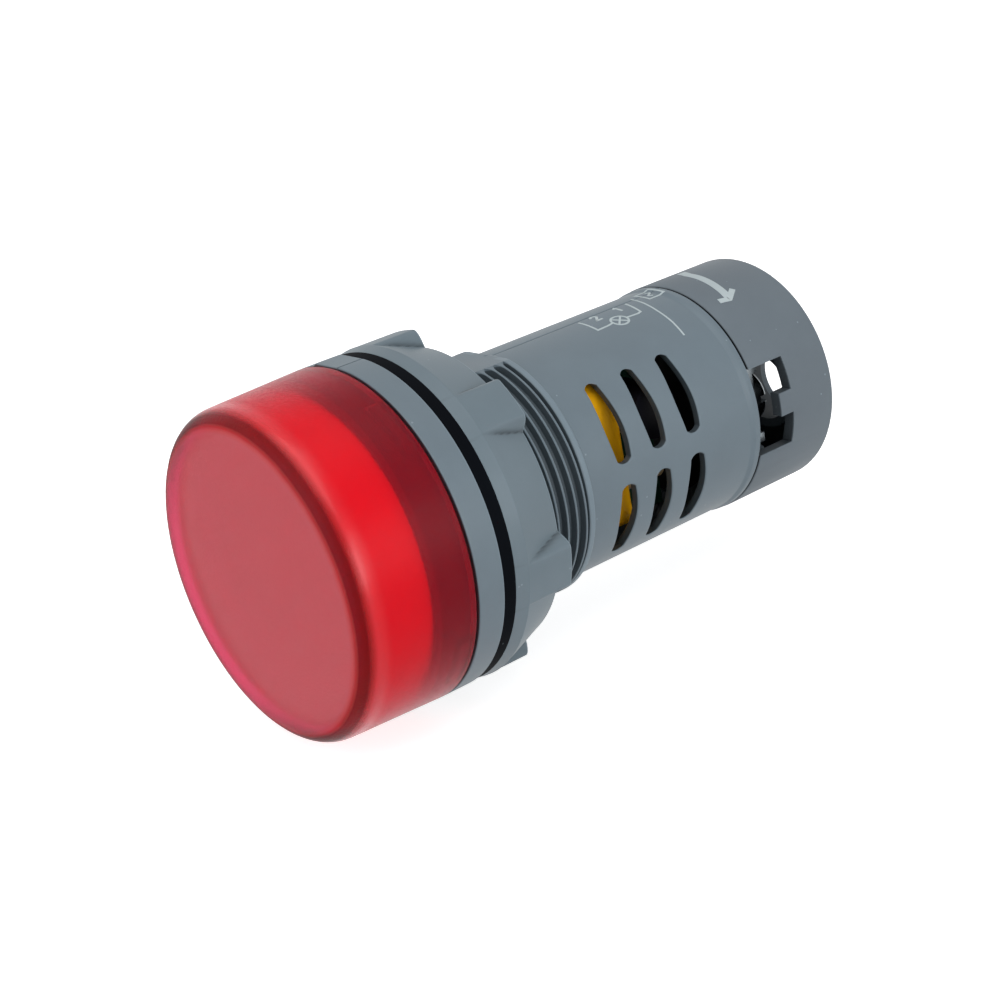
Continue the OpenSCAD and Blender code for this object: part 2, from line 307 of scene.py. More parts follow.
def grid_faces(rows, columns, wrap_columns=False, wrap_rows=False, start=0):
    """Quads of a grid whose point (i, j) has the number start + i * columns + j."""
    i = np.arange(rows if wrap_rows else rows - 1)
    j = np.arange(columns if wrap_columns else columns - 1)
    i, j = np.meshgrid(i, j, indexing="ij")
    i2, j2 = (i + 1) % rows, (j + 1) % columns
    quads = np.stack([i * columns + j, i * columns + j2, i2 * columns + j2, i2 * columns + j], axis=-1)
    return start + quads


def joined(grids):
    """The points and quads of several grids as one, each grid's quads moved on by the points before it."""
    starts = np.cumsum([0] + [len(points) for points, _ in grids[:-1]])
    quads = [faces + start for (_, faces), start in zip(grids, starts)]
    return np.concatenate([points for points, _ in grids]), np.concatenate(quads)


def signed_volume(points, quads):
    """Six times the volume inside quads, each taken as two triangles."""
    a, b, c, d = (points[quads[:, k]] for k in range(4))
    return np.sum(a * np.cross(b, c)) + np.sum(a * np.cross(c, d))


def piece(name, points, quads, material, slot, body=BODY, replaced=(), weld=2e-7, sharp=40):
    """Puts a grid's points and quads into a smooth mesh that faces outwards, on a body. Its slot is not used.
    """
    points, quads = points.reshape(-1, 3), quads.reshape(-1, 4)
    if signed_volume(points, quads) < 0:
        quads = quads[:, ::-1]
    mesh = bpy.data.meshes.new(name)
    mesh.from_pydata(points.tolist(), [], quads.tolist())
    tidy = bmesh.new()
    tidy.from_mesh(mesh)
    bmesh.ops.remove_doubles(tidy, verts=tidy.verts, dist=weld)
    bmesh.ops.dissolve_degenerate(tidy, edges=tidy.edges, dist=weld)
    tidy.to_mesh(mesh)
    tidy.free()
    mesh.polygons.foreach_set("use_smooth", np.ones(len(mesh.polygons), bool))
    mesh.set_sharp_from_angle(angle=math.radians(sharp))
    mesh.materials.append(material)
    made = into_scene(name, mesh)
    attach(made, body)
    if replaced:
        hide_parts(*replaced)
    return made


def rounded(corners, steps=5, support=0.06 * MM):
    """An outline through corners (radius, y, rounding): each corner is an arc that touches both its sides.

    The arc's centre lies on the bisector, and its tangent points lie rounding * tan((180 - corner) / 2) from
    the corner. Straight stretches get one more point near each end, so that a flat face stays flat.
    """
    corners = np.asarray(corners, float)
    out = [corners[0, :2]]
    for before, here, after in zip(corners[:-2], corners[1:-1], corners[2:]):
        a = before[:2] - here[:2]
        b = after[:2] - here[:2]
        a, b = a / np.linalg.norm(a), b / np.linalg.norm(b)
        half = math.acos(np.clip(a @ b, -1, 1)) / 2
        if here[2] <= 0 or half > math.radians(89):
            out.append(here[:2])
            continue
        reach = here[2] / math.tan(half)
        centre = here[:2] + (a + b) / np.linalg.norm(a + b) * here[2] / math.sin(half)
        p, q = here[:2] + a * reach - centre, here[:2] + b * reach - centre
        sweep = math.pi - 2 * half
        t = np.linspace(0, 1, steps + 1)[:, None]
        arc = (np.sin((1 - t) * sweep) * p + np.sin(t * sweep) * q) / math.sin(sweep)
        out.extend(centre + arc)
    out.append(corners[-1, :2])
    out = np.array(out)
    step = np.diff(out, axis=0)
    length = np.linalg.norm(step, axis=1)
    unit = step / np.maximum(length, 1e-12)[:, None]
    long = length > 4 * support
    spot = np.arange(len(step), dtype=float)
    places = np.concatenate([np.arange(len(out)), spot[long] + 0.25, spot[long] + 0.75])
    points = np.concatenate([out, (out[:-1] + unit * support)[long], (out[1:] - unit * support)[long]])
    return points[np.argsort(places, kind="stable")]


def turned(name, profile, material, slot, columns=192, **more):
    """A solid of revolution: the profile (radius, y) carried round the axis in columns equal steps."""
    angle = np.linspace(0, 2 * np.pi, columns, endpoint=False)
    points = polar(profile[:, :1], angle[None, :], profile[:, 1:])
    quads = grid_faces(len(profile), columns, wrap_columns=True)
    return piece(name, points, quads, material, slot, **more)


# ---- Materials ----

def new_group(name, inputs, outputs):
    """An empty node group of float sockets, whose inputs are given with their values.

    It comes with its nodes and links, the sockets that its input node gives and those that its output takes.
    """
    tree = bpy.data.node_groups.new(name, "ShaderNodeTree")
    for label, value in inputs.items():
        socket = tree.interface.new_socket(name=label, in_out="INPUT", socket_type="NodeSocketFloat")
        socket.default_value = value
    for label in outputs:
        tree.interface.new_socket(name=label, in_out="OUTPUT", socket_type="NodeSocketFloat")
    given = tree.nodes.new("NodeGroupInput").outputs
    result = tree.nodes.new("NodeGroupOutput").inputs
    return tree, tree.nodes, tree.links, given, result


def use(nodes, tree, values=None):
    """A node that stands for a group, with values on its inputs."""
    node = nodes.new("ShaderNodeGroup")
    node.node_tree = tree
    fill(node, values or {})
    return node


def make_grain_group():
    """Moulded grain: fine noise for the height and a slow cloud for the tone, both from 0 to 1."""
    scales = {"Grain Scale": 9000.0, "Cloud Scale": 120.0}
    tree, nodes, links, given, result = new_group("moulded_grain", scales, ("Grain", "Cloud"))
    place = nodes.new("ShaderNodeTexCoord")
    for output, detail in (("Grain", 3.0), ("Cloud", 4.0)):
        noise = nodes.new("ShaderNodeTexNoise")
        fill(noise, {"Detail": detail, "Roughness": 0.6})
        links.new(place.outputs["Object"], noise.inputs["Vector"])
        links.new(given[output + " Scale"], noise.inputs["Scale"])
        links.new(noise.outputs["Fac"], result[output])
    return tree


def make_axis_group():
    """Distance from the light's axis, the place along it and the height above or below it, all in metres."""
    tree, nodes, links, _, result = new_group("around_axis", {}, ("Radius", "Along", "Height"))
    place = nodes.new("ShaderNodeTexCoord")
    across = nodes.new("ShaderNodeVectorMath")
    across.operation = "MULTIPLY"
    across.inputs[1].default_value = (1, 0, 1)
    links.new(place.outputs["Object"], across.inputs[0])
    length = nodes.new("ShaderNodeVectorMath")
    length.operation = "LENGTH"
    links.new(across.outputs[0], length.inputs[0])
    axes = nodes.new("ShaderNodeSeparateXYZ")
    links.new(place.outputs["Object"], axes.inputs[0])
    links.new(length.outputs["Value"], result["Radius"])
    links.new(axes.outputs["Y"], result["Along"])
    links.new(compute(nodes, links, "ABSOLUTE", axes.outputs["Z"]), result["Height"])
    return tree


def make_zone_group():
    """1 inside a ring round the axis, between two radii and two places along it and below a height, else 0.

    It is the product of five steps, each clip((value - limit) / ZONE_EDGE + 1/2, 0, 1) or that turned round.
    """
    limits = {"Inner": 0.0, "Outer": 1.0, "Front": -1.0, "Rear": 1.0, "Ceiling": 1.0}
    tree, nodes, links, given, result = new_group("zone", limits, ("Mask",))
    axis = use(nodes, AXIS).outputs
    steps = []
    for value, limit, way in (("Radius", "Inner", 1), ("Radius", "Outer", -1), ("Along", "Front", 1),
                              ("Along", "Rear", -1), ("Height", "Ceiling", -1)):
        past = compute(nodes, links, "SUBTRACT", axis[value], given[limit])
        steps.append(compute(nodes, links, "MULTIPLY_ADD", past, way / ZONE_EDGE, 0.5, clamp=True))
    mask = steps[0]
    for step in steps[1:]:
        mask = compute(nodes, links, "MULTIPLY", mask, step)
    links.new(mask, result["Mask"])
    return tree


def make_dust_group():
    """Sparse specks of dust: the cores of a few cells, picked by each cell's own random colour."""
    sizes = {"Scale": 1700.0, "Size": 0.15}
    tree, nodes, links, given, result = new_group("dust_specks", sizes, ("Specks",))
    place = nodes.new("ShaderNodeTexCoord")
    cells = nodes.new("ShaderNodeTexVoronoi")
    links.new(place.outputs["Object"], cells.inputs["Vector"])
    links.new(given["Scale"], cells.inputs["Scale"])
    core = compute(nodes, links, "LESS_THAN", cells.outputs["Distance"], given["Size"])
    pick = nodes.new("ShaderNodeSeparateColor")
    links.new(cells.outputs["Color"], pick.inputs[0])
    few = compute(nodes, links, "GREATER_THAN", pick.outputs[0], DUST_PICK)
    links.new(compute(nodes, links, "MULTIPLY", core, few), result["Specks"])
    return tree


def ramp(nodes, links, value, stops):
    """A colour ramp over value, from (place, colour) stops."""
    node = nodes.new("ShaderNodeValToRGB")
    while len(node.color_ramp.elements) < len(stops):
        node.color_ramp.elements.new(0.5)
    for element, (place, colour) in zip(node.color_ramp.elements, stops):
        element.position = place
        element.color = (*colour, 1) if len(colour) == 3 else colour
    links.new(value, node.inputs["Fac"])
    return node.outputs["Color"]


def span(nodes, links, value, low, high, to_low=0.0, to_high=1.0):
    """Maps value from low..high to to_low..to_high, clamped."""
    node = nodes.new("ShaderNodeMapRange")
    fill(node, {"From Min": low, "From Max": high, "To Min": to_low, "To Max": to_high})
    links.new(value, node.inputs["Value"])
    return node.outputs["Result"]


def bump(nodes, links, height, strength, distance, shader):
    """Bends the shader's normal by a height."""
    node = nodes.new("ShaderNodeBump")
    fill(node, {"Strength": strength, "Distance": distance})
    links.new(height, node.inputs["Height"])
    links.new(node.outputs["Normal"], shader.inputs["Normal"])


def blend(nodes, links, amount, tone, colour, mode="MIX"):
    """The tone, mixed with or multiplied by a colour by amount."""
    node = nodes.new("ShaderNodeMix")
    node.data_type = "RGBA"
    node.blend_type = mode
    node.inputs["B"].default_value = (*colour, 1)
    links.new(amount, node.inputs["Factor"])
    links.new(tone, node.inputs["A"])
    return node.outputs["Result"]


def moulded(name, dark, light, rough, grain_scale=9000.0, grain_depth=0.02 * MM, shine=0.5, dust=None,
            zones=(), creases=False):
    """Moulded plastic: its tone drifts between dark and light, and its gloss varies over a fine grain.

    Dust is the colour of a few specks. Zones are (share, inner, outer, front, rear) with an optional
    ceiling, where the tone is multiplied by the share. Creases takes the piece's attribute for painted shade
    at its creases.
    """
    material, nodes, links, shader = new_material(name)
    grain = use(nodes, GRAIN, {"Grain Scale": grain_scale, "Cloud Scale": 140.0}).outputs
    tone = ramp(nodes, links, grain["Cloud"], [(0.35, dark), (0.65, light)])
    if dust is not None:
        tone = blend(nodes, links, use(nodes, DUST).outputs["Specks"], tone, dust)
    for share, *limits in zones:
        zone = use(nodes, ZONE)
        for socket, limit in zip(zone.inputs, limits):
            socket.default_value = limit
        tone = blend(nodes, links, zone.outputs["Mask"], tone, (share,) * 3, "MULTIPLY")
    if creases:
        # painted shade: the tone is darkened by the piece's crease attribute, at the foot of the nut's lobes
        crease_shade_node = nodes.new("ShaderNodeAttribute")
        crease_shade_node.attribute_name = "crease"
        tone = blend(nodes, links, crease_shade_node.outputs["Fac"], tone, (CREASE_SHADE_SHARE,) * 3, "MULTIPLY")
    shader.inputs["Specular IOR Level"].default_value = shine
    gloss = span(nodes, links, grain["Cloud"], 0.3, 0.7, rough - 0.04, rough + 0.04)
    links.new(tone, shader.inputs["Base Color"])
    links.new(gloss, shader.inputs["Roughness"])
    bump(nodes, links, grain["Grain"], 0.35, grain_depth, shader)
    return material


def metal(name, dark, light, rough):
    """Plated sheet metal: blotchy tone and a fine grain in its surface."""
    material = moulded(name, dark, light, rough, grain_scale=2600.0, grain_depth=0.01 * MM)
    material.node_tree.nodes["Principled BSDF"].inputs["Metallic"].default_value = 1.0
    return material


def red_lens():
    """Red translucent plastic: frosted and paler on its face, with painted shade in a dark band round the
    rounded rim.
    """
    material, nodes, links, shader = new_material("red_lens")
    fill(shader, {"Transmission Weight": 0.85, "IOR": 1.2, "Coat Roughness": 0.22})
    along = use(nodes, AXIS).outputs["Along"]
    back = span(nodes, links, along, LENS_FRONT, LENS_FRONT + LENS_RIM)
    face, side = (0.83, 0.36, 0.41), (0.87, 0.003, 0.045)
    # from face to side: the dark stops on the rim's rounding are painted shade
    tone = ramp(nodes, links, back, [
        (0.015, face), (0.045, (0.82, 0.27, 0.28)), (0.09, (0.60, 0.07, 0.07)), (0.16, (0.18, 0.003, 0.008)),
        (0.42, (0.13, 0.001, 0.006)), (0.58, (0.5, 0.003, 0.02)), (0.76, side)
    ])
    # painted shade over the part of the lens that has the grey collar behind it
    collar_shade = use(nodes, ZONE, {"Front": COLLAR_FRONT - 0.1 * MM}).outputs["Mask"]
    tone = blend(nodes, links, collar_shade, tone, (0.78, 0.9, 0.9), "MULTIPLY")
    links.new(tone, shader.inputs["Base Color"])
    links.new(span(nodes, links, back, 0.1, 0.5, 0.5, 0.26), shader.inputs["Roughness"])
    rise = span(nodes, links, back, 0.4, 0.75, 0.0, 0.6)
    fall = span(nodes, links, along, LENS_FRONT + 1.6 * MM, LENS_FRONT + 2.8 * MM, 1.0, 0.04)
    links.new(compute(nodes, links, "MULTIPLY", rise, fall), shader.inputs["Coat Weight"])
    grain = use(nodes, GRAIN, {"Grain Scale": 4600.0})
    bump(nodes, links, grain.outputs["Grain"], 0.8, 0.06 * MM, shader)
    return material


def banded(name, body, bands):
    """A resistor's lacquer with colour bands along Y: bands are (y, half width, colour)."""
    material, nodes, links, shader = new_material(name)
    shader.inputs["Roughness"].default_value = 0.35
    along = use(nodes, AXIS).outputs["Along"]
    grain = use(nodes, GRAIN).outputs
    tone = ramp(nodes, links, grain["Cloud"], [(0.3, tuple(0.8 * c for c in body)), (0.7, body)])
    for y, half, colour in bands:
        tone = blend(nodes, links, compute(nodes, links, "COMPARE", along, y, half), tone, colour)
    links.new(tone, shader.inputs["Base Color"])
    bump(nodes, links, grain["Grain"], 0.2, 0.02 * MM, shader)
    return material


def dress(node, material):
    """A CAD node keeps its shape and gets the material."""
    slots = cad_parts[node].material_slots
    if not slots:
        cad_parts[node].data.materials.append(material)
    for one in slots:
        one.material = material


# ---- Lens, gasket ----

def lug_mask(angle, y, soft):
    """1 over each snap lug, falling to 0 over soft: the product of a step in angle and one in y."""
    turn = (angle - LUG_TURN + math.pi / LUG_COUNT) % (2 * math.pi / LUG_COUNT) - math.pi / LUG_COUNT
    across = (LUG_HALF - np.abs(turn)) * COLLAR_R
    along = np.minimum(y - LUG_FRONT, LUG_REAR - y)
    return np.clip(across / soft + 0.5, 0, 1) * np.clip(along / soft + 0.5, 0, 1)


def make_lens(material):
    """A closed cup: the outer side and rim, and an inner side with a recess over each snap lug."""
    rear = BEZEL_FRONT - LENS_GAP
    edge_r = LENS_R - LENS_WALL / 2
    front_r = LENS_R - LENS_TAPER
    inner_r = LENS_R - LENS_WALL
    inner_front = LENS_FRONT + LENS_FACE
    outer = rounded([
        (0, LENS_FRONT, 0), (front_r, LENS_FRONT, LENS_RIM), (LENS_R, rear, 0.12 * MM), (edge_r, rear, 0)
    ], steps=10)
    inside = rounded([
        (edge_r, rear, 0), (inner_r, rear, 0.1 * MM),
        (front_r - LENS_WALL, inner_front, 1.0 * MM), (0, inner_front, 0)
    ], steps=8)
    rows = np.linspace(rear - 0.2 * MM, rear - 2.6 * MM, 26)
    slope = np.interp(rows, [inner_front, rear], [front_r - LENS_WALL, inner_r])
    middle = np.stack([slope, rows], axis=1)
    after = inside[:, 1] < rows[-1] - 0.1 * MM
    before = (inside[:, 1] > rows[0] + 0.05 * MM) & (np.arange(len(inside)) < len(inside) // 2)
    profile = np.concatenate([outer, inside[before][1:], middle, inside[after]])
    angle = np.linspace(0, 2 * np.pi, 240, endpoint=False)
    radius = np.repeat(profile[:, :1], len(angle), axis=1)
    y = np.repeat(profile[:, 1:], len(angle), axis=1)
    inner_rows = np.arange(len(profile)) >= len(outer)
    recess = LUG_RISE * lug_mask(angle[None, :], y, 0.16 * MM)
    radius = radius + np.where(inner_rows[:, None], recess, 0)
    points = polar(radius, angle[None, :], y)
    quads = grid_faces(len(profile), len(angle), wrap_columns=True)
    piece("lens_cup", points, quads, material, "lens_red", replaced=("lens",))


def make_gasket(material):
    """A rubber ring with soft edges that swells a little towards the nut."""
    profile = rounded([
        (BARREL_R, BEZEL_REAR, 0), (GASKET_R - 0.03 * MM, BEZEL_REAR, 0.1 * MM),
        (GASKET_R + 0.08 * MM, NUT_FRONT, 0.05 * MM), (BARREL_R, NUT_FRONT, 0)
    ])
    profile = np.concatenate([profile, profile[:1]])
    turned("gasket_ring", profile, material, "gasket_black", replaced=("gasket",))


# ---- Housing ----

def folded(angle):
    """The angle from the nearer of the two ends of the vertical line, from 0 to 90 degrees."""
    return np.degrees(np.abs((angle + np.pi / 2) % np.pi - np.pi / 2))


def outer_radius(radius, angle, y):
    """The housing's outer radius: the turned radius less the flats, the parting lines and the top mark.

    On the barrel a flat's plane is at FLAT / cos(angle), and between the flats it is at the thread's root.
    """
    on_barrel = (y > -0.01 * MM) & (y < CHAMFER_END + 0.05 * MM) & (radius < BARREL_R + 0.01 * MM)
    plane = FLAT / np.maximum(np.abs(np.cos(angle)), 0.2)
    in_flat = folded(angle) < FLAT_EDGE - 0.02
    solid = np.where(in_flat & (y < BARREL_END), plane, np.minimum(radius, plane))
    radius = np.where(on_barrel, solid, radius)
    on_body = (y > BARREL_END) & (y < SEAM_LINE - 0.02 * MM)
    off_line = np.radians(folded(angle)) * BODY_R
    parting = PARTING_DEPTH * np.clip(1.25 - off_line / PARTING_HALF, 0, 1)
    radius = radius - np.where(on_body, parting, 0)
    across = ((angle + np.pi) % (2 * np.pi) - np.pi) * BEZEL_R
    along = (y > BEZEL_FRONT - 0.01 * MM) & (y < BEZEL_REAR + 0.01 * MM)
    on_bezel = along & (radius > BARREL_R + 0.5 * MM)
    boss = np.clip((MARK_EDGE - across) / (0.04 * MM), 0, 1)
    boss = boss * np.clip((across - MARK_START) / (0.1 * MM), 0, 1)
    boss_top = (BEZEL_R - MARK_DROP) / np.maximum(np.cos(angle), 0.5)
    groove = MARK_GROOVE * np.clip(1.7 - np.abs(across - MARK_EDGE) / (0.05 * MM), 0, 1)
    raised = radius + np.where(radius > BEZEL_R - 0.2 * MM, (boss_top - BEZEL_R) * boss - groove, 0)
    return np.where(on_bezel, raised, radius)


def quarter_lines():
    """The grid's angles in a quarter turn from the top: steps of 1.5 degrees, and finer at each edge."""
    close = np.degrees(np.array([0.02, 0.05, 0.08, 0.12, 0.3]) * MM / BODY_R)
    mark = np.degrees((MARK_EDGE + np.array([-0.16, -0.09, -0.04, 0, 0.04, 0.09]) * MM) / BEZEL_R)
    edges = [FLAT_EDGE - 0.1, FLAT_EDGE + 0.05, WINDOW_EDGE - 0.1, WINDOW_EDGE + 0.1]
    return np.unique(np.round(np.concatenate([np.arange(0, 90.1, 1.5), close, mark, edges]), 4))


def housing_columns():
    """Angles of all columns: the quarter's lines, mirrored into the other three quarters."""
    lines = quarter_lines()
    whole = np.concatenate([lines, 180 - lines, 180 + lines, 360 - lines]) % 360
    return np.radians(np.unique(np.round(whole, 4)))


def vent_cell(side, up, middle, columns, rows):
    """One vent with the wall round it, as rows of points from the outer sheet through the hole to the inner.

    columns and rows are the angles and places of the grid's lines along the cell's border, which the first
    and last row of points follow. The hole is a capsule prism along X whose outer edge is rounded by a
    quarter circle, and points between border and hole lie on straight lines in (angle, y).
    """
    border_a = np.concatenate([columns[:-1], np.full(len(rows) - 1, columns[-1]), columns[:0:-1],
                               np.full(len(rows) - 1, columns[0])])
    border_y = np.concatenate([np.full(len(columns) - 1, rows[0]), rows[:-1],
                               np.full(len(columns) - 1, rows[-1]), rows[:0:-1]])
    z0 = VENT_NEAR + VENT_HALF
    z1 = VENT_FAR - VENT_HALF
    border_z = BODY_R * np.cos(border_a)
    spine = np.interp(border_z, [SPINE_LOW, SPINE_HIGH], [z0, z1])
    direction = np.stack([border_z - spine, border_y - middle], axis=1)
    direction /= np.linalg.norm(direction, axis=1, keepdims=True)

    def ring(grow, radius):
        z = spine + direction[:, 0] * (VENT_HALF + grow)
        y = middle + direction[:, 1] * (VENT_HALF + grow)
        return np.arccos(np.clip(z / radius, -1, 1)), y, radius

    quarter = np.linspace(0, np.pi / 2, 5)
    layers = []
    for t in (0.0, 0.35, 0.65, 0.85):
        a, y, radius = ring(VENT_EDGE, BODY_R)
        layers.append((border_a + (a - border_a) * t, border_y + (y - border_y) * t, np.full(len(a), BODY_R)))
    for q in quarter:
        a, y, radius = ring(VENT_EDGE * (1 - np.sin(q)), BODY_R - VENT_EDGE * (1 - np.cos(q)))
        layers.append((a, y, np.full(len(a), radius)))
    for radius in (BODY_R - 0.5 * MM, BORE_R + VENT_EDGE):
        a, y, radius = ring(0, radius)
        layers.append((a, y, np.full(len(a), radius)))
    a, y, radius = ring(VENT_EDGE, BORE_R)
    layers.append((a, y, np.full(len(a), BORE_R)))
    for t in (0.5, 1.0):
        layers.append((a + (border_a - a) * t, y + (border_y - y) * t, np.full(len(a), BORE_R)))
    angle, y, radius = np.stack(layers, axis=1)
    angle = angle if up > 0 else np.pi - angle
    angle = angle if side > 0 else 2 * np.pi - angle
    quads = grid_faces(len(layers), len(border_a), wrap_columns=True)
    if up * side < 0:
        quads = quads[..., ::-1]
    return polar(radius, angle, y).reshape(-1, 3), quads.reshape(-1, 4)


def housing_profile():
    """The closed outline of the turned housing, and where its rows through the vents start on either side."""
    root = BARREL_R - THREAD_DEPTH
    outside = rounded([
        (COLLAR_IN, COLLAR_FRONT, 0), (COLLAR_R, COLLAR_FRONT, 0.15 * MM),
        (COLLAR_R, BEZEL_FRONT, 0.03 * MM),
        (BEZEL_R, BEZEL_FRONT, 0.14 * MM), (BEZEL_R, BEZEL_REAR, 0.08 * MM),
        (BARREL_R, BEZEL_REAR, 0), (BARREL_R, 0, 0)
    ])
    barrel = rounded([
        (BARREL_R, 0.02 * MM, 0), (BARREL_R, 0.25 * MM, 0), (root, 0.45 * MM, 0.1 * MM),
        (root, BARREL_END - 0.36 * MM, 0.08 * MM), (BARREL_R, BARREL_END - 0.26 * MM, 0.05 * MM),
        (BARREL_R, BARREL_END - 0.02 * MM, 0)
    ], steps=3)
    tail = rounded([
        (BARREL_R, BARREL_END, 0), (BARREL_R, LAND_END, 0.1 * MM),
        (BODY_R, CHAMFER_END, 0.15 * MM), (BODY_R, VENT_PLACES[0] - CELL_HALF, 0)
    ])
    rows = np.arange(VENT_PLACES[0] - CELL_HALF, VENT_PLACES[-1] + CELL_HALF + 1e-7, ROW_STEP)
    skirt = SEAM_LINE - SEAM_GAP
    body = np.stack([np.full(len(rows), BODY_R), rows], axis=1)
    end = rounded([
        (BODY_R, rows[-1], 0), (BODY_R, SEAM_LINE - 1.2 * MM, 0.5 * MM),
        (BODY_R + BAND, SEAM_LINE - 0.75 * MM, 0.5 * MM), (BODY_R + BAND, skirt, 0.08 * MM),
        (SPIGOT_R, skirt, 0.03 * MM), (SPIGOT_R, SPIGOT_REAR, 0.2 * MM),
        (SPIGOT_IN, SPIGOT_REAR, 0.1 * MM), (SPIGOT_IN, STOP_REAR, 0.05 * MM),
        (STOP_R, STOP_REAR, 0.05 * MM), (STOP_R, STOP_FRONT, 0.05 * MM),
        (BORE_R, STOP_TAPER, 0), (BORE_R, rows[-1], 0)
    ])
    inner = np.stack([np.full(len(rows), BORE_R), rows[::-1]], axis=1)
    front = rounded([
        (BORE_R, rows[0], 0), (BORE_R, LEDGE, 0.1 * MM),
        (COLLAR_IN, LEDGE, 0.1 * MM), (COLLAR_IN, COLLAR_FRONT, 0)
    ])
    profile = np.concatenate([outside, barrel, tail[:-1], body, end[1:-1], inner, front[1:-1]])
    first = len(outside) + len(barrel) + len(tail) - 1
    second = first + len(body) + len(end) - 2
    return profile, first, second, len(rows)


def make_housing(material):
    """One moulding as one closed grid with its vents: collar, bezel, barrel, body and spigot."""
    profile, first, second, count = housing_profile()
    angle = housing_columns()
    y = np.repeat(profile[:, 1:], len(angle), axis=1)
    radius = np.repeat(profile[:, :1], len(angle), axis=1)
    outside = np.arange(len(profile)) < second - 3
    shaped = outer_radius(radius, angle[None, :], y)
    radius = np.where(outside[:, None], shaped, radius)
    in_window = (folded(angle) > WINDOW_EDGE)[None, :] & (y > SEAM_LINE + 0.1 * MM)
    y = np.where(in_window, SEAM_LINE + 0.1 * MM, y)
    collar = (np.abs(radius - COLLAR_R) < 0.02 * MM) & outside[:, None]
    radius = radius + np.where(collar, LUG_RISE * lug_mask(angle[None, :], y, 0.10 * MM), 0)
    points = polar(radius, angle[None, :], y).reshape(-1, 3)
    quads = grid_faces(len(profile), len(angle), wrap_columns=True, wrap_rows=True)

    # take out the cells that the vents fill
    row = np.arange(len(profile))[:, None]
    middle = (angle + np.append(angle[1:], 2 * np.pi)) / 2
    wall = ((row >= first) & (row < first + count - 1)) | ((row >= second) & (row < second + count - 1))
    quads = quads[~((folded(middle) > CELL_FROM)[None, :] & wall)]

    lines = quarter_lines()
    lines = np.radians(lines[lines > CELL_FROM - 0.01])
    cell_rows = np.arange(CELL_STEPS + 1) * ROW_STEP - CELL_HALF
    grids = [(points, quads)]
    for side, up, place in product((1, -1), (1, -1), VENT_PLACES):
        grids.append(vent_cell(side, up, place, lines, cell_rows + place))
    points, quads = joined(grids)
    made = piece("housing_shell", points, quads, material, "housing_grey", replaced=("housing",), weld=1e-6)
    fix = bmesh.new()
    fix.from_mesh(made.data)
    bmesh.ops.recalc_face_normals(fix, faces=fix.faces)
    fix.to_mesh(made.data)
    fix.free()


def make_thread(material):
    """The barrel's thread: one ridge carried along a helix whose crest lies at pitch * (turn + THREAD_PHASE).

    Across the ridge are eight points at offsets along y: two at its foot below the barrel, two on the root,
    two on the shoulders and two on the top. The top's half width is constant, and beside both flats it grows
    by a quarter ellipse to half the pitch, so that each groove ends in a round tip. The top's radius is the
    barrel's, or that of the flat's plane where that is lower.
    """
    tips = FLAT_EDGE + np.array([-0.2, 0.1, 0.3, 0.7, 1.3, 2.0, 2.8, 3.8, 5.0])
    lines = np.concatenate([np.arange(0, 90.1, 3), tips])
    turn = np.unique(np.round(np.concatenate([lines, 180 - lines, 180 + lines, 360 - lines]) % 360, 3)) / 360
    turns = (np.arange(12)[:, None] + turn[None, :]).ravel()
    crest = THREAD_PITCH * (turns + THREAD_PHASE)
    keep = (crest > 0.5 * MM) & (crest < BARREL_END - 0.3 * MM)
    angle, crest = 2 * np.pi * turns[keep], crest[keep]
    near = np.clip((FLAT_EDGE + TIP_SPAN - folded(angle)) / TIP_SPAN, 0, 1)
    half = THREAD_TOP + (THREAD_PITCH / 2 - THREAD_TOP) * (1 - np.sqrt(1 - near ** 2))
    foot = np.minimum(half + THREAD_FLANK, THREAD_PITCH / 2)
    top = np.minimum(BARREL_R, FLAT / np.maximum(np.abs(np.cos(angle)), 0.2)) - 0.01 * MM
    root = top - THREAD_DEPTH * (foot - half) / THREAD_FLANK
    soft = np.minimum(0.03 * MM, (foot - half) * 0.4)
    base = np.full(len(top), BARREL_R - THREAD_DEPTH - 0.15 * MM)
    inset = half - 0.02 * MM
    offset = np.stack([-foot, -foot, -half - soft, -inset, inset, half + soft, foot, foot])
    radius = np.stack([base, root, top - 1.4 * soft, top, top, top - 1.4 * soft, root, base])
    radius[:, [0, -1]] = base[0]
    offset[:, [0, -1]] = 0
    points = polar(radius, angle[None, :], crest[None, :] + offset)
    quads = grid_faces(8, len(angle), wrap_rows=True)
    piece("barrel_thread", points, quads, material, "housing_grey", replaced=("housing",), sharp=28)


# ---- Print on the body and the cap ----

def body_surface(y):
    """The body's radius at y: it rises by BAND in front of the seam."""
    return BODY_R + BAND * np.clip((y - SEAM_LINE + 1.25 * MM) / (0.5 * MM), 0, 1)


def cap_surface(y):
    """The cap's radius."""
    return CAP_R + 0 * y


